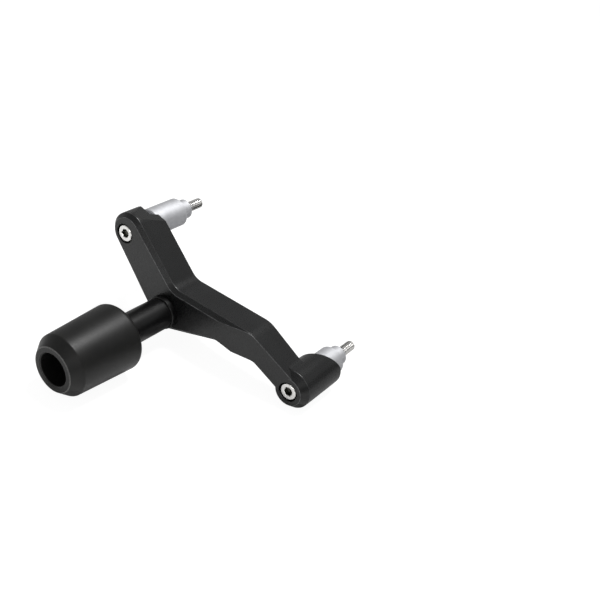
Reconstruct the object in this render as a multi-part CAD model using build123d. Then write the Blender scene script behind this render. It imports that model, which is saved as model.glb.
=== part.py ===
from build123d import *

import os
from math import asin, atan2, cos, degrees, hypot, radians, sin, tan

# Frame slider: a puck on a stem, carried by a two-armed bracket that two bolts hold to a motorcycle.
# Millimetres. +Y runs along the bolts towards the motorcycle, +Z is up and +X runs towards the
# lower bolt. The origin is on the upper bolt's axis, where its spacer seats on the motorcycle.

# Axes of the puck and the lower bolt, from the upper bolt's, all parallel to Y
puck_x, puck_z = 34.5, -53.5
lower_x, lower_z = 142.3, -88.5

# Bracket, along Y
bracket_rear_y = -30.5
bracket_depth = 26.0
boss_rear_y = -4.5
boss_middle_y = -9.8
boss_rear_lean = 31.0
lower_seat_depth = 7.4
upper_seat_depth = 7.5
front_slope = 6.3
front_bend_x = 52.3

# Bracket outline, seen along Y
hub_radius = 16.0
short_outer_offset = 13.0
short_end_offset = 14.5
short_end_radius = 14.5
short_inner_offset = 17.5
short_inner_angle = -55.5
facet_turn = 28.7
facet_front_offset = 17.8
facet_lean = 10.8
hub_lower_angle = 5.5
long_upper_angle = -13.0
long_upper_offset = 21.2
long_step_x = 46.5
long_step_offset = 11.8
long_step_angle = -21.0
long_lower_angle = -4.0
long_lower_offset = 12.7
tip_angle = -41.0
tip_upper_offset = 10.2
tip_lower_offset = 5.8
boss_radius = 15.0
boss_nose_radius = 10.8
boss_nose_length = 5.5
boss_blend_radius = 8.0
boss_section_inset = 0.05
inner_corner_radius = 14.0
upper_bend_radius = 20.0
lower_bend_radius = 8.0
front_chamfer = 3.2
edge_round = 0.6
sloped_edge_round = 0.4
rear_edge_round = 0.5
hole_edge = 0.4
upper_seat_clearance = 2.5
lower_seat_clearance = 0.3

# Mounting bolts: M8 socket-head cap screws
bolt_diameter = 8.0
bolt_head_diameter = 13.0
bolt_length = 75.0
bolt_socket = 6.0
bolt_socket_depth = 4.4
bolt_end_chamfer = 1.0
head_edge = 0.6
head_recess = 0.3
head_clearance = 0.9
bolt_hole_clearance = 0.3

# Puck bolt: M10 socket-head cap screw on a washer
puck_bolt_diameter = 10.0
puck_bolt_head_diameter = 16.0
puck_bolt_length = 80.0
puck_bolt_socket = 8.0
puck_bolt_socket_depth = 5.4
puck_bolt_hole_clearance = 0.3
thread_clearance = 0.05
washer_diameter = 22.0
washer_thickness = 2.0

# Stem
stem_radius = 12.0
stem_length = 46.5
stem_edge = 0.6
collar_radius = 12.8
collar_length = 5.0
groove_depth = 0.6
groove_width = 1.2

# Puck
puck_length = 59.0
puck_face_radius = 16.5
puck_front_radius = 22.5
puck_rear_radius = 25.0
puck_nose_length = 7.5
puck_bore_radius = 12.0
puck_bore_depth = 44.0
puck_bore_break = 0.8
puck_nose_round = 2.5
puck_rear_round = 4.0

# Spacers
spacer_radius = 11.0
spacer_neck_radius = 8.6
upper_neck_length = 7.0
lower_neck_length = 1.5
lower_seat_y = 5.0
spigot_radius = 7.6
spigot_length = 9.5
spacer_edge = 0.6

# Worked out from the sizes above
bracket_front_y = bracket_rear_y - bracket_depth
upper_seat_y = bracket_rear_y - upper_seat_depth
boss_front_y = bracket_front_y + tan(radians(front_slope)) * (lower_x - puck_x - front_bend_x)
puck_rear_y = bracket_front_y - stem_length
puck_front_y = puck_rear_y - puck_length
puck_floor_y = puck_front_y + puck_bore_depth
upper_seat_radius = spacer_radius + upper_seat_clearance
lower_seat_radius = spacer_radius + lower_seat_clearance
boss_floor_y = boss_middle_y - lower_seat_depth
counterbore_radius = bolt_head_diameter / 2 + head_clearance
bolt_hole_radius = bolt_diameter / 2 + bolt_hole_clearance
puck_bolt_hole_radius = puck_bolt_diameter / 2 + puck_bolt_hole_clearance
far = 3 * hypot(lower_x, lower_z)


def direction(angle):
    """The unit vector at this many degrees above +X, seen along Y."""
    return Vector(cos(radians(angle)), sin(radians(angle)))


def side(through, offset, angle):
    """The straight side at this angle that passes a point at this distance, on its left."""
    return through + direction(angle + 90) * offset, direction(angle)


def meet(first, second):
    """Where two straight sides cross."""
    (start, along), (other, across) = first, second
    gap = other - start
    reach = (gap.X * across.Y - gap.Y * across.X) / (along.X * across.Y - along.Y * across.X)
    return start + along * reach


def prism(face, front_y, rear_y):
    """An outline in X and Z, pulled from one depth to another."""
    return extrude(Plane.XZ.offset(-rear_y) * face, amount=rear_y - front_y)


def rod(x, z, radius, front_y, rear_y):
    """A round bar along Y."""
    return prism(Location((x, z)) * Circle(radius), front_y, rear_y)


def turned(x, z, corners):
    """A turned piece: (radius, y) corners spun about the axis along Y at x and z."""
    face = make_face(Polyline(*corners, close=True))
    return Location((x, 0, z)) * revolve(face, Axis.Y)


def rings(solid, radius, y):
    """The round edges of this radius at this depth."""
    found = [edge for edge in solid.edges().filter_by(GeomType.CIRCLE) if abs(edge.radius - radius) < 1e-4]
    return [edge for edge in found if abs(edge.arc_center.Y - y) < 1e-4]


def edges_at(solid, y):
    """The edges that lie at this depth."""
    return [edge for edge in solid.edges() if all(abs((edge @ share).Y - y) < 1e-3 for share in (0, 0.5, 1))]


def short_arm_angle():
    """The direction of the short arm's outer side, tangent to the hub."""
    taper = asin((hub_radius - short_outer_offset) / hypot(puck_x, puck_z))
    return degrees(atan2(puck_z, puck_x) - taper)


def bracket_outline():
    """The bracket seen along Y: short arm, hub and long arm, with its boss left out."""
    upper = Vector(0, 0)
    hub = Vector(puck_x, puck_z)
    lower = Vector(lower_x, lower_z)
    step = hub + Vector(long_step_x, -long_step_offset)
    sides = [
        side(upper, -short_outer_offset, short_arm_angle()),
        side(upper, short_end_offset, short_arm_angle() + 90),
        side(upper, short_inner_offset, short_inner_angle),
        side(hub, long_upper_offset, long_upper_angle),
        side(lower, tip_upper_offset, tip_angle),
        side(lower, 0, tip_angle + 90),
        side(lower, -tip_lower_offset, tip_angle),
        side(hub, -long_lower_offset, long_lower_angle),
        side(step, 0, long_step_angle),
        side(hub, -hub_radius, hub_lower_angle),
    ]
    corners = [meet(a, b) for a, b in zip(sides, sides[1:] + sides[:1])]
    end_radii = [short_end_radius, short_end_radius]
    upper_radii = [inner_corner_radius, upper_bend_radius]
    lower_radii = [lower_bend_radius, lower_bend_radius, lower_bend_radius]
    radii = [*end_radii, *upper_radii, 0, 0, *lower_radii, hub_radius]
    return make_face(FilletPolyline(*corners, radius=radii, close=True))


def upper_seat_cut():
    """The spot face behind the short arm, open through the arm's end."""
    angle = short_arm_angle() + 180
    centre = direction(angle) * far / 2
    slot = Location((centre.X, centre.Y), (0, 0, angle)) * Rectangle(far, 2 * upper_seat_radius)
    return prism(slot + Circle(upper_seat_radius), upper_seat_y, far)


def facet_cut():
    """What the leaning facet takes off the corner of the short arm's end."""
    turn = short_inner_angle + facet_turn
    outward = direction(turn + 90)
    lean = radians(facet_lean)
    normal = Vector(outward.X * cos(lean), sin(lean), outward.Y * cos(lean))
    place = Vector(outward.X * facet_front_offset, bracket_front_y, outward.Y * facet_front_offset)
    return extrude(Plane(place, z_dir=normal) * Rectangle(far, far), amount=far)


def front_slope_cut():
    """What the sloping front face takes off the long arm, as a wedge along Z."""
    bend_x = puck_x + front_bend_x
    end_x = bend_x + far
    end_y = bracket_front_y + far * tan(radians(front_slope))
    corners = [(bend_x, bracket_front_y), (end_x, end_y), (end_x, bracket_front_y)]
    wedge = make_face(Polyline(*corners, close=True))
    return extrude(wedge, amount=far / 2, both=True)


def sloping_edges(solid):
    """The edges of the long arm's sloping front face, without the line where it bends."""
    fall = radians(front_slope)
    bend = Vector(puck_x + front_bend_x, bracket_front_y, 0)
    face = Plane(bend, x_dir=(cos(fall), sin(fall), 0), z_dir=(sin(fall), -cos(fall), 0))
    found = []
    for edge in solid.edges():
        places = [face.to_local_coords(edge @ share) for share in (0, 0.5, 1)]
        if max(abs(place.Z) for place in places) < 1e-3 and places[1].X > edge_round:
            found.append(edge)
    return found


def tip_section():
    """The long arm's tip and the boss seen along Y, with the corners between them blended."""
    radius = boss_radius - boss_section_inset
    length = radius + 2 * boss_blend_radius
    middle = (-length / 2, (tip_upper_offset - tip_lower_offset) / 2)
    bar = Location(middle) * Rectangle(length, tip_upper_offset + tip_lower_offset)
    section = Location((lower_x, lower_z), (0, 0, tip_angle)) * (bar + Circle(radius))
    corners = []
    for corner in section.vertices():
        offset = Vector(corner.X - lower_x, corner.Y - lower_z)
        if abs(offset.length - radius) < 1e-4 and offset.dot(direction(tip_angle)) < 0:
            corners.append(corner)
    return fillet(corners, boss_blend_radius)


def make_plate():
    """Both arms and the hub, with their chamfered and rounded edges, before the boss and the holes."""
    plate = prism(bracket_outline(), bracket_front_y, bracket_rear_y) - facet_cut()
    plate = chamfer(plate.faces().sort_by(Axis.Y)[0].edges(), front_chamfer)
    plate = fillet(plate.faces().sort_by(Axis.Y)[0].edges(), edge_round)
    plate = fillet(edges_at(plate, bracket_front_y + front_chamfer), edge_round)
    plate += prism(tip_section(), boss_front_y + boss_nose_length, bracket_rear_y)
    plate = fillet(plate.faces().sort_by(Axis.Y)[-1].edges(), rear_edge_round)
    plate -= front_slope_cut()
    return fillet(sloping_edges(plate), sloped_edge_round)


def boss_rear_cut():
    """What the boss's leaning rear face takes off it, most on the side of the hub."""
    outward = direction(tip_angle + 180)
    lean = radians(boss_rear_lean)
    normal = Vector(outward.X * sin(lean), cos(lean), outward.Y * sin(lean))
    middle = Vector(lower_x, boss_middle_y, lower_z)
    return extrude(Plane(middle, z_dir=normal) * Rectangle(far, far), amount=far)


def make_boss():
    """The round boss at the end of the long arm, with its conical nose and its leaning rear."""
    corners = [
        (0, boss_front_y),
        (boss_nose_radius, boss_front_y),
        (boss_radius, boss_front_y + boss_nose_length),
        (boss_radius, boss_rear_y),
        (0, boss_rear_y),
    ]
    boss = turned(lower_x, lower_z, corners)
    boss = fillet(rings(boss, boss_radius, boss_front_y + boss_nose_length), edge_round)
    boss = fillet(rings(boss, boss_nose_radius, boss_front_y), sloped_edge_round) - boss_rear_cut()
    rear_faces = boss.faces().filter_by(GeomType.PLANE).sort_by(Axis.Y)[-2:]
    return fillet(rear_faces[0].edges() + rear_faces[1].edges(), edge_round)


def make_bracket():
    """The bracket: both arms, the hub, the boss and all its holes."""
    body = make_plate() + make_boss()
    upper_floor_y = bracket_front_y + head_recess + bolt_diameter
    lower_floor_y = boss_front_y + head_recess + bolt_diameter
    body -= rod(0, 0, counterbore_radius, bracket_front_y - far, upper_floor_y)
    body -= rod(lower_x, lower_z, counterbore_radius, boss_front_y - far, lower_floor_y)
    for face_y in [bracket_front_y, boss_front_y]:
        body = chamfer(rings(body, counterbore_radius, face_y), hole_edge)
    body -= upper_seat_cut()
    body -= rod(lower_x, lower_z, lower_seat_radius, boss_floor_y, far)
    for x, z in [(0, 0), (lower_x, lower_z)]:
        body -= rod(x, z, bolt_hole_radius, -far, far)
    tapped_radius = puck_bolt_diameter / 2 + thread_clearance
    body -= rod(puck_x, puck_z, tapped_radius, -far, far)
    return chamfer(rings(body, tapped_radius, bracket_rear_y), hole_edge)


def cap_screw(x, z, head_y, diameter, head_diameter, length, socket, socket_depth):
    """A socket-head cap screw whose head starts at head_y; the head is as long as the thread is wide."""
    seat_y = head_y + diameter
    head = rod(x, z, head_diameter / 2, head_y, seat_y)
    head = chamfer(rings(head, head_diameter / 2, head_y), head_edge)
    shank = rod(x, z, diameter / 2, head_y + socket_depth, seat_y + length)
    shank = chamfer(rings(shank, diameter / 2, seat_y + length), bolt_end_chamfer)
    hexagon = Location((x, z)) * RegularPolygon(socket / 2, 6, major_radius=False)
    return head + shank - prism(hexagon, head_y - far, head_y + socket_depth)


def mounting_bolt(x, z, face_y):
    """A mounting bolt with its head just under the face around it."""
    sizes = (bolt_diameter, bolt_head_diameter, bolt_length, bolt_socket, bolt_socket_depth)
    return cap_screw(x, z, face_y + head_recess, *sizes)


def make_puck_bolt():
    """The bolt in the puck's bore, which clamps puck and stem onto the hub."""
    head_y = puck_floor_y - washer_thickness - puck_bolt_diameter
    thread = (puck_bolt_diameter, puck_bolt_head_diameter, puck_bolt_length)
    return cap_screw(puck_x, puck_z, head_y, *thread, puck_bolt_socket, puck_bolt_socket_depth)


def make_puck_washer():
    """The flat washer under the puck bolt's head."""
    front_y = puck_floor_y - washer_thickness
    disc = rod(puck_x, puck_z, washer_diameter / 2, front_y, puck_floor_y)
    return disc - rod(puck_x, puck_z, puck_bolt_hole_radius, -far, far)


def make_stem():
    """The turned stem: a bar with a groove and a collar where it meets the hub."""
    collar_y = bracket_front_y - collar_length
    groove_y = collar_y - groove_width
    floor = stem_radius - groove_depth
    outline = [
        (puck_bolt_hole_radius, puck_rear_y),
        (stem_radius, puck_rear_y),
        (stem_radius, groove_y),
        (floor, groove_y),
        (floor, collar_y),
        (collar_radius, collar_y),
        (collar_radius, bracket_front_y),
        (puck_bolt_hole_radius, bracket_front_y),
    ]
    stem = turned(puck_x, puck_z, outline)
    return chamfer(rings(stem, collar_radius, collar_y), stem_edge)


def make_puck():
    """The puck: a slightly tapered barrel with a wide nose chamfer and a deep bore."""
    outline = [
        (puck_bore_radius, puck_front_y),
        (puck_face_radius, puck_front_y),
        (puck_front_radius, puck_front_y + puck_nose_length),
        (puck_rear_radius, puck_rear_y),
        (puck_bolt_hole_radius, puck_rear_y),
        (puck_bolt_hole_radius, puck_floor_y),
        (puck_bore_radius, puck_floor_y),
    ]
    puck = turned(puck_x, puck_z, outline)
    puck = fillet(rings(puck, puck_rear_radius, puck_rear_y), puck_rear_round)
    puck = fillet(rings(puck, puck_front_radius, puck_front_y + puck_nose_length), puck_nose_round)
    return chamfer(rings(puck, puck_bore_radius, puck_front_y), puck_bore_break)


def make_spacer(x, z, front_y, neck_length, seat_y):
    """A turned spacer: neck on the bracket, body, and a spigot that enters the motorcycle."""
    shoulder_y = front_y + neck_length
    tip_y = seat_y + spigot_length
    outline = [
        (bolt_hole_radius, front_y),
        (spacer_neck_radius, front_y),
        (spacer_neck_radius, shoulder_y),
        (spacer_radius, shoulder_y),
        (spacer_radius, seat_y),
        (spigot_radius, seat_y),
        (spigot_radius, tip_y),
        (bolt_hole_radius, tip_y),
    ]
    spacer = turned(x, z, outline)
    worn = rings(spacer, spacer_radius, shoulder_y) + rings(spacer, spacer_radius, seat_y)
    return chamfer(worn + rings(spacer, spigot_radius, tip_y), spacer_edge)


parts = {
    "bracket": make_bracket(),
    "stem": make_stem(),
    "puck": make_puck(),
    "puck_bolt": make_puck_bolt(),
    "puck_washer": make_puck_washer(),
    "upper_bolt": mounting_bolt(0, 0, bracket_front_y),
    "lower_bolt": mounting_bolt(lower_x, lower_z, boss_front_y),
    "upper_spacer": make_spacer(0, 0, upper_seat_y, upper_neck_length, 0),
    "lower_spacer": make_spacer(lower_x, lower_z, boss_floor_y, lower_neck_length, lower_seat_y),
}

os.makedirs("parts", exist_ok=True)
for name, shape in parts.items():
    export_step(shape, f"parts/{name}.step")
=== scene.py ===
import bpy
import math
import numpy as np
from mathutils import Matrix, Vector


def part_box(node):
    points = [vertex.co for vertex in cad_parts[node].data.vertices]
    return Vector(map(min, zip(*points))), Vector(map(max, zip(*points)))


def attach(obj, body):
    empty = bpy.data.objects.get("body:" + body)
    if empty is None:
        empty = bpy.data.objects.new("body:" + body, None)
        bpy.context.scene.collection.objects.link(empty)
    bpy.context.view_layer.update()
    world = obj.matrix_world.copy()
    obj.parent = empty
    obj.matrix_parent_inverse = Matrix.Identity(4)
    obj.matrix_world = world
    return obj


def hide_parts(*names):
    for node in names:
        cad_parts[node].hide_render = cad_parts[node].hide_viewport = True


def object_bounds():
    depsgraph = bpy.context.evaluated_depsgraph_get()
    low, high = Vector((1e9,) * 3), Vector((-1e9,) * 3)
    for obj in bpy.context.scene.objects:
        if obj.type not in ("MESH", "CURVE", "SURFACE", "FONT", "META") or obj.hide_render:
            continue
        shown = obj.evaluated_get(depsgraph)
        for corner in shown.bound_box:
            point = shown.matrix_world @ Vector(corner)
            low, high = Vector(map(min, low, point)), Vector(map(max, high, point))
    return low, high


# Looks of a motorcycle frame slider. Metres; +Y runs along the bolts towards the motorcycle, +Z is up.
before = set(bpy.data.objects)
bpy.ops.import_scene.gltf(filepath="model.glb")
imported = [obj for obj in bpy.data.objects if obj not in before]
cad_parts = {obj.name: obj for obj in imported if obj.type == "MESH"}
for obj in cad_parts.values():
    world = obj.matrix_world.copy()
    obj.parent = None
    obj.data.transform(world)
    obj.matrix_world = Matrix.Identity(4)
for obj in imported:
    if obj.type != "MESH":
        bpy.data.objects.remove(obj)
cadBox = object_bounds()
mm = 0.001
leastRound = 0.02 * mm  # no corner of a turned outline is sharper
creaseFrom = math.radians(34)  # edges that bend more than this stay crisp


def axisOf(node):
    # a turned piece spins about the middle of its node's box, along Y
    low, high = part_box(node)
    return (low.x + high.x) / 2, (low.z + high.z) / 2


def endsOf(node):
    # front and rear depth of a node
    low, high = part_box(node)
    return low.y, high.y


def unit(vectors):
    # each vector divided by its length
    return vectors / np.linalg.norm(vectors, axis=-1, keepdims=True)


# Rounded outline: every corner of the closed outline becomes an arc tangent to its two sides. The arc
# begins radius / tan(half the corner's angle) from the corner, and its points turn evenly from one
# side's tangent point to the other's. One more point beside each arc keeps the flat side flat.
def roundCorners(corners, radii, steps, hold):
    corner = np.array(corners, float)
    radius = np.maximum(np.array(radii, float), leastRound)[:, None]
    back = unit(np.roll(corner, 1, axis=0) - corner)
    ahead = unit(np.roll(corner, -1, axis=0) - corner)
    half = np.arccos(np.clip((back * ahead).sum(1, keepdims=True), -1, 1)) / 2
    reach = radius / np.tan(half)
    centre = corner + unit(back + ahead) * radius / np.sin(half)
    first = corner + back * reach - centre
    last = corner + ahead * reach - centre
    turn = (np.pi - 2 * half)[:, :, None]
    share = np.linspace(0, 1, steps)[None, :, None]
    arc = first[:, None] * np.sin((1 - share) * turn) + last[:, None] * np.sin(share * turn)
    arc = centre[:, None] + arc / np.sin(turn)
    before = (corner + back * (reach + hold))[:, None]
    after = (corner + ahead * (reach + hold))[:, None]
    return np.concatenate([before, arc, after], axis=1).reshape(-1, 2)


# Even steps of the angle round an axis, as one row.
def evenAngles(columns):
    return np.linspace(0, 2 * np.pi, columns, endpoint=False)[None, :]


# Turned surface: a point at (radius, depth) goes round the axis to (x + radius cos a, depth,
# z + radius sin a). The radius may change with the angle a, as on a hexagon or a thread.
def aroundAxis(radius, depth, angle, axis):
    x = axis[0] + radius * np.cos(angle)
    y = depth + 0 * angle
    z = axis[1] + radius * np.sin(angle)
    return np.stack([x, y, z], axis=-1)


# Ring turned from a closed outline of (radius, depth) corners.
def turnedRing(corners, radii, axis, size):
    outline = roundCorners(corners, radii, size["steps"], size["hold"])
    return aroundAxis(outline[:, :1], outline[:, 1:], evenAngles(size["columns"]), axis)


# Quads between the neighbours of a grid of rows and columns; columns close on themselves, and the rows
# do too on a ring. Otherwise a fan closes each end. The side that faces out is found from the volume:
# the sum of a . (b x c) over the triangles is positive when they all face outwards.
def addSurface(name, grid, ring, material, node):
    rows, columns = grid.shape[:2]
    points = grid.reshape(-1, 3)
    number = np.arange(rows * columns).reshape(rows, columns)
    across = np.roll(number, -1, axis=1)
    fans = np.empty((0, 3), int)
    if ring:
        down, downAcross = np.roll(number, -1, axis=0), np.roll(across, -1, axis=0)
    else:
        down, downAcross = number[1:], across[1:]
        number, across = number[:-1], across[:-1]
        points = np.concatenate([points, grid[0].mean(0, keepdims=True), grid[-1].mean(0, keepdims=True)])
        start = np.arange(columns)
        after = np.roll(start, -1)
        pole = np.full(columns, rows * columns)
        lastRow = (rows - 1) * columns
        fans = np.concatenate([
            np.stack([after, start, pole], axis=-1),
            np.stack([lastRow + start, lastRow + after, pole + 1], axis=-1),
        ])
    quads = np.stack([number, across, downAcross, down], axis=-1).reshape(-1, 4)
    triangles = np.concatenate([quads[:, [0, 1, 2]], quads[:, [0, 2, 3]], fans])
    first, second, third = points[triangles].transpose(1, 0, 2)
    if np.einsum("ij,ij->", first, np.cross(second, third)) < 0:
        quads, fans = quads[:, ::-1], fans[:, ::-1]
    mesh = bpy.data.meshes.new(name)
    mesh.from_pydata(points.tolist(), [], quads.tolist() + fans.tolist())
    mesh.shade_smooth()
    mesh.set_sharp_from_angle(angle=creaseFrom)
    mesh.materials.append(material)
    piece = bpy.data.objects.new(name, mesh)
    bpy.context.scene.collection.objects.link(piece)
    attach(piece, "root")
    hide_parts(node)
    print("made", name, len(mesh.polygons), "faces")


def newMaterial(name):
    material = bpy.data.materials.new(name)
    material.use_nodes = True
    nodes = material.node_tree.nodes
    return material, nodes, material.node_tree.links, nodes["Principled BSDF"]


def addNode(nodes, kind, **settings):
    node = nodes.new(kind)
    for key, value in settings.items():
        setattr(node, key, value)
    return node


def mathNode(nodes, links, operation, *values):
    # each value is a number or the output of another node
    node = addNode(nodes, "ShaderNodeMath", operation=operation)
    for socket, value in zip(node.inputs, values):
        if isinstance(value, (int, float)):
            socket.default_value = value
        else:
            links.new(value, socket)
    return node.outputs[0]


def noiseNode(nodes, links, place, scale, detail, roughness=0.55):
    node = addNode(nodes, "ShaderNodeTexNoise")
    node.inputs["Scale"].default_value = scale
    node.inputs["Detail"].default_value = detail
    node.inputs["Roughness"].default_value = roughness
    links.new(place, node.inputs["Vector"])
    return node.outputs["Fac"]


noiseStart, noiseEnd = 0.3, 0.7  # most values of a noise lie between these


def rangeNode(nodes, links, value, low, high, start=noiseStart, end=noiseEnd):
    # a number that runs from low to high as the value runs from start to end
    node = addNode(nodes, "ShaderNodeMapRange")
    for key, number in {"From Min": start, "From Max": end, "To Min": low, "To Max": high}.items():
        node.inputs[key].default_value = number
    links.new(value, node.inputs[0])
    return node.outputs[0]


def rampNode(nodes, links, value, stops, interpolation="LINEAR"):
    # a colour for each stop of (position, colour); two stops are there from the start
    node = addNode(nodes, "ShaderNodeValToRGB")
    node.color_ramp.interpolation = interpolation
    for position, colour in stops[2:]:
        node.color_ramp.elements.new(position)
    for stop, (position, colour) in zip(node.color_ramp.elements, stops):
        stop.position = position
        stop.color = (*colour, 1)
    links.new(value, node.inputs[0])
    return node.outputs[0]


def cloudNode(nodes, links, cloud, finish):
    # from the finish's dark colour to its light one
    return rampNode(nodes, links, cloud, [(noiseStart, finish["dark"]), (noiseEnd, finish["light"])])


def blendNode(nodes, links, share, colour, other):
    # from a linked colour to a plain one, as the share runs from 0 to 1
    node = addNode(nodes, "ShaderNodeMix", data_type="RGBA")
    links.new(share, node.inputs[0])
    links.new(colour, node.inputs[6])
    node.inputs[7].default_value = (*other, 1)
    return node.outputs[2]


def bumpNode(nodes, links, height, distance, below=None):
    node = addNode(nodes, "ShaderNodeBump")
    node.inputs["Strength"].default_value = 1
    node.inputs["Distance"].default_value = distance
    links.new(height, node.inputs["Height"])
    if below is not None:
        links.new(below, node.inputs["Normal"])
    return node.outputs[0]


# Turning marks: noise along (distance from the axis + depth), so that they run round the piece on its
# barrel and on its ends alike. The distance from the axis is the root of x * x + z * z.
def turningMarks(nodes, links, axis, finish):
    centred = addNode(nodes, "ShaderNodeMapping")
    centred.inputs["Location"].default_value = (-axis[0], 0, -axis[1])
    links.new(addNode(nodes, "ShaderNodeTexCoord").outputs["Object"], centred.inputs["Vector"])
    place = centred.outputs[0]
    parts = addNode(nodes, "ShaderNodeSeparateXYZ")
    links.new(place, parts.inputs[0])
    xx = mathNode(nodes, links, "MULTIPLY", parts.outputs[0], parts.outputs[0])
    zz = mathNode(nodes, links, "MULTIPLY", parts.outputs[2], parts.outputs[2])
    radius = mathNode(nodes, links, "SQRT", mathNode(nodes, links, "ADD", xx, zz))
    along = mathNode(nodes, links, "ADD", radius, parts.outputs[1])
    rings = addNode(nodes, "ShaderNodeTexNoise", noise_dimensions="1D")
    rings.inputs["Scale"].default_value = finish["ringScale"]
    rings.inputs["Detail"].default_value = finish["ringDetail"]
    links.new(along, rings.inputs["W"])
    cloud = noiseNode(nodes, links, place, finish["cloudScale"], finish["cloudDetail"])
    depth = parts.outputs[1]
    return {"place": place, "cloud": cloud, "rings": rings.outputs["Fac"], "radius": radius, "depth": depth}


anodised = {
    "dark": (0.003, 0.0032, 0.0034), "light": (0.0065, 0.0069, 0.0071), "cloudScale": 60, "cloudDetail": 4,
    "roughLow": 0.24, "roughHigh": 0.36, "grainScale": 1500, "grainDetail": 2, "grainHeight": 0.012 * mm,
    "millScale": 900, "millDetail": 3, "millHeight": 0.006 * mm, "millStretch": (1, 0.03, 1), "ior": 1.5,
    "worn": (0.16, 0.162, 0.165), "wornScale": 220, "wornDetail": 3,
    "wornShare": (0.25, 1.0), "wornNoise": (0.35, 0.6),
    # how far the normal leans along Y, from -1 to 1, and the share of wear and painted highlight from there
    # on
    "edges": [(-1.0, 0), (-0.975, 1), (-0.735, 0), (-0.58, 0.4), (-0.25, 0), (0.25, 0.3), (0.8, 0)],
}


# Edge wear and painted highlight: the edge roundings are the only places whose normal leans between two
# faces, so the normal's share along Y picks them out and paints them lighter, partly as wear and partly as a
# painted highlight; a noise leaves it patchy.
def wornEdges(nodes, links, place, normal):
    parts = addNode(nodes, "ShaderNodeSeparateXYZ")
    links.new(normal, parts.inputs[0])
    lean = rangeNode(nodes, links, parts.outputs[1], 0, 1, -1, 1)
    stops = [((tilt + 1) / 2, (share, share, share)) for tilt, share in anodised["edges"]]
    edges = rampNode(nodes, links, lean, stops, "CONSTANT")
    patch = noiseNode(nodes, links, place, anodised["wornScale"], anodised["wornDetail"])
    patch = rangeNode(nodes, links, patch, *anodised["wornShare"], *anodised["wornNoise"])
    return mathNode(nodes, links, "MULTIPLY", edges, patch)


def blackAnodised(name):
    # blasted and dyed aluminium: a fine grain everywhere, and faint cutter marks along Y on the walls
    material, nodes, links, shader = newMaterial(name)
    coordinates = addNode(nodes, "ShaderNodeTexCoord")
    place = coordinates.outputs["Object"]
    cloud = noiseNode(nodes, links, place, anodised["cloudScale"], anodised["cloudDetail"])
    grain = noiseNode(nodes, links, place, anodised["grainScale"], anodised["grainDetail"])
    stretched = addNode(nodes, "ShaderNodeMapping")
    stretched.inputs["Scale"].default_value = anodised["millStretch"]
    links.new(place, stretched.inputs["Vector"])
    mill = noiseNode(nodes, links, stretched.outputs[0], anodised["millScale"], anodised["millDetail"])
    # edge roundings painted lighter: partly wear, partly a painted highlight
    worn = wornEdges(nodes, links, place, coordinates.outputs["Normal"])
    colour = blendNode(nodes, links, worn, cloudNode(nodes, links, cloud, anodised), anodised["worn"])
    links.new(colour, shader.inputs["Base Color"])
    rough = rangeNode(nodes, links, grain, anodised["roughLow"], anodised["roughHigh"])
    links.new(rough, shader.inputs["Roughness"])
    lower = bumpNode(nodes, links, mill, anodised["millHeight"])
    links.new(bumpNode(nodes, links, grain, anodised["grainHeight"], lower), shader.inputs["Normal"])
    shader.inputs["IOR"].default_value = anodised["ior"]
    return material


def dressBracket():
    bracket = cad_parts["bracket"]
    bracket.data.materials.clear()
    bracket.data.materials.append(blackAnodised("blackAnodised"))
    print("dressed bracket")


turned = {  # dyed aluminium, smoother and darker than the blasted bracket
    "dark": (0.0012, 0.0012, 0.0013), "light": (0.0028, 0.0028, 0.0029), "cloudScale": 140, "cloudDetail": 3,
    "ringScale": 2600, "ringDetail": 2, "ringHeight": 0.0006 * mm, "ior": 1.4, "metallic": 0,
    "roughFrom": "rings", "rough": (0.30, 0.38),
}
silver = {  # bare aluminium, etched matt
    "dark": (0.58, 0.585, 0.605), "light": (0.68, 0.685, 0.705), "cloudScale": 160, "cloudDetail": 4,
    "ringScale": 2200, "ringDetail": 2, "ringHeight": 0.004 * mm, "ior": 1.5, "metallic": 1,
    "roughFrom": "rings", "rough": (0.56, 0.68),
}
plated = {  # zinc plating, dull and slightly blotched, roughest where it is dark
    "dark": (0.40, 0.40, 0.39), "light": (0.58, 0.575, 0.55), "cloudScale": 260, "cloudDetail": 5,
    "ringScale": 2800, "ringDetail": 2, "ringHeight": 0.003 * mm, "ior": 1.5, "metallic": 1,
    "roughFrom": "cloud", "rough": (0.44, 0.26),
}


def turnedMetal(name, axis, finish):
    # a cloudy colour under fine rings from the tool
    material, nodes, links, shader = newMaterial(name)
    marks = turningMarks(nodes, links, axis, finish)
    links.new(cloudNode(nodes, links, marks["cloud"], finish), shader.inputs["Base Color"])
    rough = rangeNode(nodes, links, marks[finish["roughFrom"]], *finish["rough"])
    links.new(rough, shader.inputs["Roughness"])
    links.new(bumpNode(nodes, links, marks["rings"], finish["ringHeight"]), shader.inputs["Normal"])
    shader.inputs["Metallic"].default_value = finish["metallic"]
    shader.inputs["IOR"].default_value = finish["ior"]
    return material


plastic = {
    "dark": (0.003, 0.003, 0.0028), "light": (0.0065, 0.0065, 0.006), "cloudScale": 90, "cloudDetail": 4,
    "rough": (0.38, 0.50), "ringScale": 1700, "ringDetail": 2, "ringHeight": 0.006 * mm, "ior": 1.4,
    "speckScale": 1100, "speckDetail": 3, "speckRoughness": 0.7, "speckHeight": 0.008 * mm,
    "rimBurnishAndHighlight": (0.13, 0.13, 0.126), "rimWidth": 0.45 * mm, "rimShare": (0.3, 1.0),
}


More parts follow.
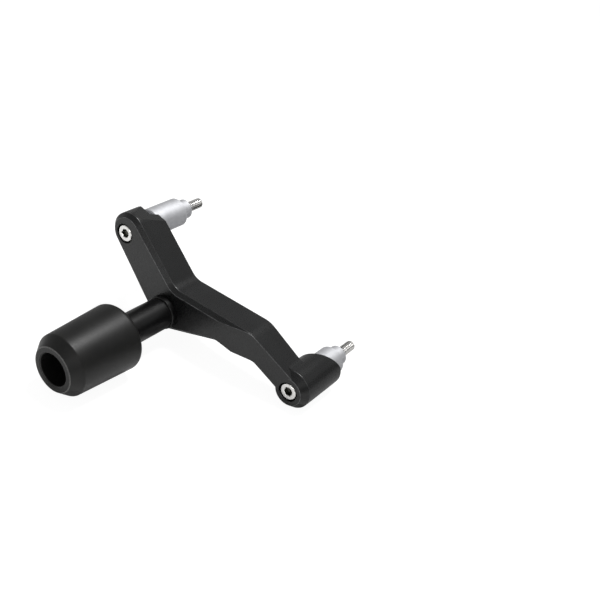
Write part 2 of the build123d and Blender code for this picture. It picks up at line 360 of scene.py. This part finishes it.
def blackPlastic(name, axis, front, boreRadius, faceRadius):
    # turned from bar: soft tool rings with a torn grain over them, and pale edges on the front, partly
    # burnish and partly a painted highlight
    material, nodes, links, shader = newMaterial(name)
    marks = turningMarks(nodes, links, axis, plastic)
    radius, width = marks["radius"], plastic["rimWidth"]
    speckSize = [plastic[key] for key in ("speckScale", "speckDetail", "speckRoughness")]
    speck = noiseNode(nodes, links, marks["place"], *speckSize)
    # pale rims at the bore's edge and the face's outer edge: partly burnish, partly a painted highlight
    inner = mathNode(nodes, links, "LESS_THAN", radius, boreRadius + width)
    offset = mathNode(nodes, links, "ABSOLUTE", mathNode(nodes, links, "SUBTRACT", radius, faceRadius))
    outer = mathNode(nodes, links, "LESS_THAN", offset, width)
    ahead = mathNode(nodes, links, "LESS_THAN", marks["depth"], front + width)
    edges = mathNode(nodes, links, "MULTIPLY", mathNode(nodes, links, "ADD", inner, outer), ahead)
    patch = rangeNode(nodes, links, speck, *plastic["rimShare"])
    edges = mathNode(nodes, links, "MULTIPLY", edges, patch)
    black = cloudNode(nodes, links, marks["cloud"], plastic)
    colour = blendNode(nodes, links, edges, black, plastic["rimBurnishAndHighlight"])
    links.new(colour, shader.inputs["Base Color"])
    links.new(rangeNode(nodes, links, speck, *plastic["rough"]), shader.inputs["Roughness"])
    lower = bumpNode(nodes, links, marks["rings"], plastic["ringHeight"])
    links.new(bumpNode(nodes, links, speck, plastic["speckHeight"], lower), shader.inputs["Normal"])
    shader.inputs["IOR"].default_value = plastic["ior"]
    return material


puck = {
    "faceRadius": 16.5 * mm, "frontRadius": 22.5 * mm, "rearRadius": 25 * mm, "noseLength": 7.5 * mm,
    "boreRadius": 12 * mm, "boreDepth": 44 * mm, "boreBreak": 0.8 * mm, "boltRadius": 5.3 * mm,
    "noseRound": 2.5 * mm, "rearRound": 4 * mm, "edge": 0.5 * mm,
    "steps": 9, "hold": 0.12 * mm, "columns": 160,
}


def makePuck():
    front, rear = endsOf("puck")
    boreFloor = front + puck["boreDepth"]
    corners = [
        (puck["boreRadius"], front + puck["boreBreak"]),
        (puck["boreRadius"] + puck["boreBreak"], front),
        (puck["faceRadius"], front),
        (puck["frontRadius"], front + puck["noseLength"]),
        (puck["rearRadius"], rear),
        (puck["boltRadius"], rear),
        (puck["boltRadius"], boreFloor),
        (puck["boreRadius"], boreFloor),
    ]
    edge = puck["edge"]
    radii = [edge / 2, edge / 2, edge, puck["noseRound"], puck["rearRound"], edge / 2, edge / 2, edge]
    axis = axisOf("puck")
    finish = blackPlastic("blackPlastic", axis, front, puck["boreRadius"], puck["faceRadius"])
    addSurface("puckBody", turnedRing(corners, radii, axis, puck), True, finish, "puck")


stem = {
    "radius": 12 * mm, "boreRadius": 5.3 * mm, "collarRadius": 12.8 * mm, "collarLength": 5 * mm,
    "grooveWidth": 1.2 * mm, "grooveDepth": 0.6 * mm, "chamfer": 0.6 * mm, "edge": 0.15 * mm,
    "steps": 5, "hold": 0.06 * mm, "columns": 128,
}


def makeStem():
    front, rear = endsOf("stem")
    collar = rear - stem["collarLength"]
    groove = collar - stem["grooveWidth"]
    inner = stem["radius"] - stem["grooveDepth"]
    corners = [
        (stem["boreRadius"], front),
        (stem["radius"], front),
        (stem["radius"], groove),
        (inner, groove),
        (inner, collar),
        (stem["collarRadius"] - stem["chamfer"], collar),
        (stem["collarRadius"], collar + stem["chamfer"]),
        (stem["collarRadius"], rear),
        (stem["boreRadius"], rear),
    ]
    axis = axisOf("stem")
    grid = turnedRing(corners, [stem["edge"]] * len(corners), axis, stem)
    addSurface("stemBody", grid, True, turnedMetal("blackTurned", axis, turned), "stem")


spacer = {
    "radius": 11 * mm, "neckRadius": 8.6 * mm, "spigotRadius": 7.6 * mm, "spigotLength": 9.5 * mm,
    "boreRadius": 4.3 * mm, "chamfer": 0.6 * mm, "edge": 0.12 * mm,
    "neckLengths": {"upper_spacer": 7 * mm, "lower_spacer": 1.5 * mm},
    "steps": 5, "hold": 0.06 * mm, "columns": 128,
}


def makeSpacer(name, node):
    front, rear = endsOf(node)
    shoulder = front + spacer["neckLengths"][node]
    seat = rear - spacer["spigotLength"]
    cut = spacer["chamfer"]
    corners = [
        (spacer["boreRadius"], front),
        (spacer["neckRadius"], front),
        (spacer["neckRadius"], shoulder),
        (spacer["radius"] - cut, shoulder),
        (spacer["radius"], shoulder + cut),
        (spacer["radius"], seat - cut),
        (spacer["radius"] - cut, seat),
        (spacer["spigotRadius"], seat),
        (spacer["spigotRadius"], rear - cut),
        (spacer["spigotRadius"] - cut, rear),
        (spacer["boreRadius"], rear),
    ]
    axis = axisOf(node)
    grid = turnedRing(corners, [spacer["edge"]] * len(corners), axis, spacer)
    addSurface(name, grid, True, turnedMetal(name + "Silver", axis, silver), node)


washer = {
    "radius": 11 * mm, "boreRadius": 5.3 * mm, "edge": 0.3 * mm,
    "steps": 5, "hold": 0.06 * mm, "columns": 96,
}


def makeWasher(material):
    front, rear = endsOf("puck_washer")
    corners = [
        (washer["boreRadius"], front),
        (washer["radius"], front),
        (washer["radius"], rear),
        (washer["boreRadius"], rear),
    ]
    grid = turnedRing(corners, [washer["edge"]] * len(corners), axisOf("puck_washer"), washer)
    addSurface("washerRing", grid, True, material, "puck_washer")


smallScrew = {
    "diameter": 8 * mm, "head": 13 * mm, "socket": 6 * mm, "socketDepth": 4.4 * mm, "pitch": 1.25 * mm,
    "threadLength": 28 * mm, "tip": 1.0 * mm, "knurls": 36, "knurlDepth": 0.12 * mm,
}
largeScrew = {
    "diameter": 10 * mm, "head": 16 * mm, "socket": 8 * mm, "socketDepth": 5.4 * mm, "pitch": 1.5 * mm,
    "threadLength": 32 * mm, "tip": 1.2 * mm, "knurls": 36, "knurlDepth": 0.14 * mm,
}
screwCut = {  # the same on both sizes; depth and run-out are shares of the pitch
    "threadDepth": 0.61, "threadFade": 1.5, "threadFlat": 0.125, "threadSteps": 8,
    "endInset": 0.6 * mm, "columns": 144,
}


# Screw: rows run from the socket's floor up its six-sided wall, over the head, down its knurled side and
# along the shank to the tip. A row at angle a has the radius
#   round * (1 - hex) + hex * flat / cos(a mod 60 - 30), less knurl * half of (1 + cos(teeth * a)),
#   less thread * a triangle wave of (depth / pitch - a / one turn), which climbs as a helix.
def screwGrid(size, axis, front, rear):
    half, head, flat = size["diameter"] / 2, size["head"] / 2, size["socket"] / 2
    seat = front + size["diameter"]
    floor = front + size["socketDepth"]
    corner = flat / math.cos(math.pi / 6)
    plain = [  # radius, depth, how six-sided, how knurled
        (0.35 * flat, floor, 1, 0),  # socket's floor
        (flat - 0.2 * mm, floor, 1, 0),
        (flat, floor - 0.2 * mm, 1, 0),  # socket's wall
        (flat, front + 0.5 * mm, 1, 0),
        (flat, front + 0.35 * mm, 1, 0),
        (corner + 0.15 * mm, front + 0.06 * mm, 0, 0),  # chamfer at its mouth
        (corner + 0.25 * mm, front, 0, 0),
        (corner + 0.4 * mm, front, 0, 0),  # face of the head
        (head - 0.75 * mm, front, 0, 0),
        (head - 0.6 * mm, front + 0.02 * mm, 0, 0),  # rounded rim
        (head - 0.28 * mm, front + 0.2 * mm, 0, 0),
        (head - 0.1 * mm, front + 0.5 * mm, 0, 0),
        (head, front + 0.75 * mm, 0, 0),
        (head, front + 1.0 * mm, 0, 1),  # knurled side
        (head, seat - 0.8 * mm, 0, 1),
        (head, seat - 0.6 * mm, 0, 0),
        (head, seat - 0.3 * mm, 0, 0),
        (head - 0.3 * mm, seat, 0, 0),  # underside
        (head - 0.4 * mm, seat, 0, 0),
        (half + 0.25 * mm, seat, 0, 0),  # fillet and shank
        (half, seat + 0.25 * mm, 0, 0),
        (half, seat + 0.5 * mm, 0, 0),
    ]
    pitch = size["pitch"]
    threadStart = rear - size["threadLength"]
    steps = int(size["threadLength"] / pitch * screwCut["threadSteps"])
    depths = np.linspace(threadStart, rear, steps + 1)
    inset = np.clip(depths - (rear - size["tip"]), 0, None)
    threaded = np.stack([half - inset, depths, 0 * depths, 0 * depths], axis=1)
    end = [[half - size["tip"] - screwCut["endInset"], rear, 0, 0]]
    table = np.concatenate([np.array(plain, float), threaded, end])
    radius, depth, hexagon, knurl = table.T[:, :, None]
    angle = evenAngles(screwCut["columns"])
    sixSided = 1 / np.cos(np.mod(angle, np.pi / 3) - np.pi / 6)
    teeth = (1 + np.cos(size["knurls"] * angle)) / 2
    shape = radius * ((1 - hexagon) + hexagon * sixSided) - knurl * size["knurlDepth"] * teeth
    wave = np.abs(np.mod(depth / pitch - angle / (2 * np.pi), 1) - 0.5) * 2
    flats = screwCut["threadFlat"]  # of crest and root, so the wave is cut off at both
    wave = np.clip(wave * (1 + 2 * flats) - flats, 0, 1)
    grow = np.clip((depth - threadStart) / (screwCut["threadFade"] * pitch), 0, 1)
    grow = np.where(depth < rear, grow, 0)
    threadDepth = screwCut["threadDepth"] * pitch * grow
    shape = np.where(depth > threadStart, np.minimum(shape, half - threadDepth * wave), shape)
    return aroundAxis(shape, depth, angle, axis)


def makeScrew(name, node, size, material):
    grid = screwGrid(size, axisOf(node), *endsOf(node))
    addSurface(name, grid, False, material, node)


steel = {
    "dark": (0.76, 0.75, 0.73), "light": (0.92, 0.91, 0.89), "cloudScale": 420, "cloudDetail": 4,
    "rough": (0.14, 0.24), "ringScale": 3200, "ringDetail": 2, "ringHeight": 0.003 * mm,
    "socketShade": (0.2, 0.2, 0.18), "socketShadeRadius": 3.6 * mm, "socketShadeStart": 0.3 * mm, "socketShadeSpare": 0.1 * mm,
}


def stainless(name, axis, front, socketDepth):
    # bright screw steel, a little warmer than the spacers, with painted shade darkening the inside of the
    # socket
    material, nodes, links, shader = newMaterial(name)
    marks = turningMarks(nodes, links, axis, steel)
    depth = marks["depth"]
    # painted shade: the socket's inside, within the hexagon's reach and down to its floor, is darkened as if
    # in shade
    inside = mathNode(nodes, links, "LESS_THAN", marks["radius"], steel["socketShadeRadius"])
    deep = mathNode(nodes, links, "GREATER_THAN", depth, front + steel["socketShadeStart"])
    ahead = mathNode(nodes, links, "LESS_THAN", depth, front + socketDepth + steel["socketShadeSpare"])
    socket = mathNode(nodes, links, "MULTIPLY", mathNode(nodes, links, "MULTIPLY", inside, deep), ahead)
    bright = cloudNode(nodes, links, marks["cloud"], steel)
    links.new(blendNode(nodes, links, socket, bright, steel["socketShade"]), shader.inputs["Base Color"])
    links.new(rangeNode(nodes, links, marks["cloud"], *steel["rough"]), shader.inputs["Roughness"])
    links.new(bumpNode(nodes, links, marks["rings"], steel["ringHeight"]), shader.inputs["Normal"])
    shader.inputs["Metallic"].default_value = 1
    return material


dressBracket()
makePuck()
makeStem()
makeSpacer("upperSpacer", "upper_spacer")
makeSpacer("lowerSpacer", "lower_spacer")
platedSteel = turnedMetal("platedSteel", axisOf("puck_bolt"), plated)
makeWasher(platedSteel)
makeScrew("puckScrew", "puck_bolt", largeScrew, platedSteel)
for name, node in {"upperScrew": "upper_bolt", "lowerScrew": "lower_bolt"}.items():
    front, rear = endsOf(node)
    finish = stainless(name + "Steel", axisOf(node), front, smallScrew["socketDepth"])
    makeScrew(name, node, smallScrew, finish)


studio = {
    "floorSize": 30.0, "bossRadius": 15 * mm, "floorColour": 0.8,
    "seenColour": 0.25, "seenGlow": 0.92,  # the paper as the camera sees it
    "mirroredGlow": 0.08, "shade": 0.5, "shadeReach": (-0.10, -0.03),  # and as the slider mirrors it
    # grey of the room at each height, from level to straight up
    "room": [(0.03, 0.22), (0.12, 0.20), (0.33, 0.52), (0.60, 0.36), (1.0, 0.2)],
}


# The slider lies on its puck and on the boss round the lower bolt, so the paper touches both circles:
# it slopes by the angle between their middles, less the arc sine of (difference of radii / distance).
def makeFloor():
    puckX, puckZ = axisOf("puck")
    bossX, bossZ = axisOf("lower_bolt")
    apart = math.hypot(bossX - puckX, bossZ - puckZ)
    slope = math.atan2(puckZ - bossZ, bossX - puckX)
    slope -= math.asin((puck["rearRadius"] - studio["bossRadius"]) / apart)
    half = studio["floorSize"] / 2
    mesh = bpy.data.meshes.new("floor")
    edge = [(-half, -half, 0), (half, -half, 0), (half, half, 0), (-half, half, 0)]
    mesh.from_pydata(edge, [], [(0, 1, 2, 3)])
    mesh.materials.append(floorPaper())
    floor = bpy.data.objects.new("floor", mesh)
    floor.rotation_euler = (0, slope, 0)
    drop = puck["rearRadius"]
    floor.location = (puckX - drop * math.sin(slope), 0, puckZ - drop * math.cos(slope))
    bpy.context.scene.collection.objects.link(floor)


def floorPaper():
    # grey paper that keeps the shadow, with a glow that makes it white to the camera
    material, nodes, links, shader = newMaterial("floorPaper")
    nodes.remove(shader)
    path = addNode(nodes, "ShaderNodeLightPath")
    seen = path.outputs["Is Camera Ray"]
    glossy, through = path.outputs["Is Glossy Ray"], path.outputs["Is Transmission Ray"]
    mirrored = mathNode(nodes, links, "MAXIMUM", glossy, through)
    # mirrored paper falls off in shade behind the slider
    parts = addNode(nodes, "ShaderNodeSeparateXYZ")
    links.new(addNode(nodes, "ShaderNodeTexCoord").outputs["Object"], parts.inputs[0])
    shade = rangeNode(nodes, links, parts.outputs[1], 0, studio["shade"], *studio["shadeReach"])
    left = mathNode(nodes, links, "SUBTRACT", 1, mathNode(nodes, links, "MULTIPLY", mirrored, shade))
    colour = rangeNode(nodes, links, seen, studio["floorColour"], studio["seenColour"], 0, 1)
    seenGlow = mathNode(nodes, links, "MULTIPLY", seen, studio["seenGlow"])
    mirroredGlow = mathNode(nodes, links, "MULTIPLY", mirrored, studio["mirroredGlow"])
    glowing = mathNode(nodes, links, "ADD", seenGlow, mirroredGlow)
    paper = addNode(nodes, "ShaderNodeBsdfDiffuse")
    glow = addNode(nodes, "ShaderNodeEmission")
    links.new(mathNode(nodes, links, "MULTIPLY", colour, left), paper.inputs["Color"])
    links.new(mathNode(nodes, links, "MULTIPLY", glowing, left), glow.inputs["Strength"])
    both = addNode(nodes, "ShaderNodeAddShader")
    links.new(paper.outputs[0], both.inputs[0])
    links.new(glow.outputs[0], both.inputs[1])
    links.new(both.outputs[0], nodes["Material Output"].inputs["Surface"])
    return material


def makeWorld():
    # a grey room, lightest a third of the way up; the camera itself sees white paper
    world = bpy.data.worlds.new("studio")
    bpy.context.scene.world = world
    world.use_nodes = True
    nodes, links = world.node_tree.nodes, world.node_tree.links
    parts = addNode(nodes, "ShaderNodeSeparateXYZ")
    links.new(addNode(nodes, "ShaderNodeTexCoord").outputs["Generated"], parts.inputs[0])
    stops = [(height, (level, level, level)) for height, level in studio["room"]]
    room = rampNode(nodes, links, parts.outputs[2], stops)
    seen = addNode(nodes, "ShaderNodeLightPath").outputs["Is Camera Ray"]
    links.new(blendNode(nodes, links, seen, room, (1, 1, 1)), nodes["Background"].inputs["Color"])


lamps = {  # where it stands, its width and height, its power
    "topSoftbox": ((0.43, 0.24, 1.05), (0.32, 0.32), 12.5),
    "cameraSoftbox": ((0.84, -0.87, 0.38), (0.25, 0.25), 0.7),
    "frontSoftbox": ((0.10, -1.24, 0.10), (0.30, 0.20), 1.5),
}


def makeLamp(name, place, size, power):
    light = bpy.data.lights.new(name, "AREA")
    light.shape = "RECTANGLE"
    light.size, light.size_y = size
    light.energy = power
    lamp = bpy.data.objects.new(name, light)
    low, high = cadBox
    lamp.location = place
    lamp.rotation_euler = ((low + high) / 2 - lamp.location).to_track_quat("-Z", "Y").to_euler()
    lamp.visible_camera = False
    bpy.context.scene.collection.objects.link(lamp)


view = {"place": (0.44373, -0.46517, 0.23162), "turn": (64.13, 0, 35.04), "lens": 51.615, "sensor": 36}


def makeCamera():
    data = bpy.data.cameras.new("camera")
    data.lens = view["lens"]
    data.sensor_width = view["sensor"]
    camera = bpy.data.objects.new("camera", data)
    camera.location = view["place"]
    camera.rotation_euler = [math.radians(degrees) for degrees in view["turn"]]
    bpy.context.scene.collection.objects.link(camera)
    bpy.context.scene.camera = camera


makeFloor()
makeWorld()
for name, (place, size, power) in lamps.items():
    makeLamp(name, place, size, power)
makeCamera()
bpy.context.scene.view_settings.view_transform = "Standard"
print("studio ready")
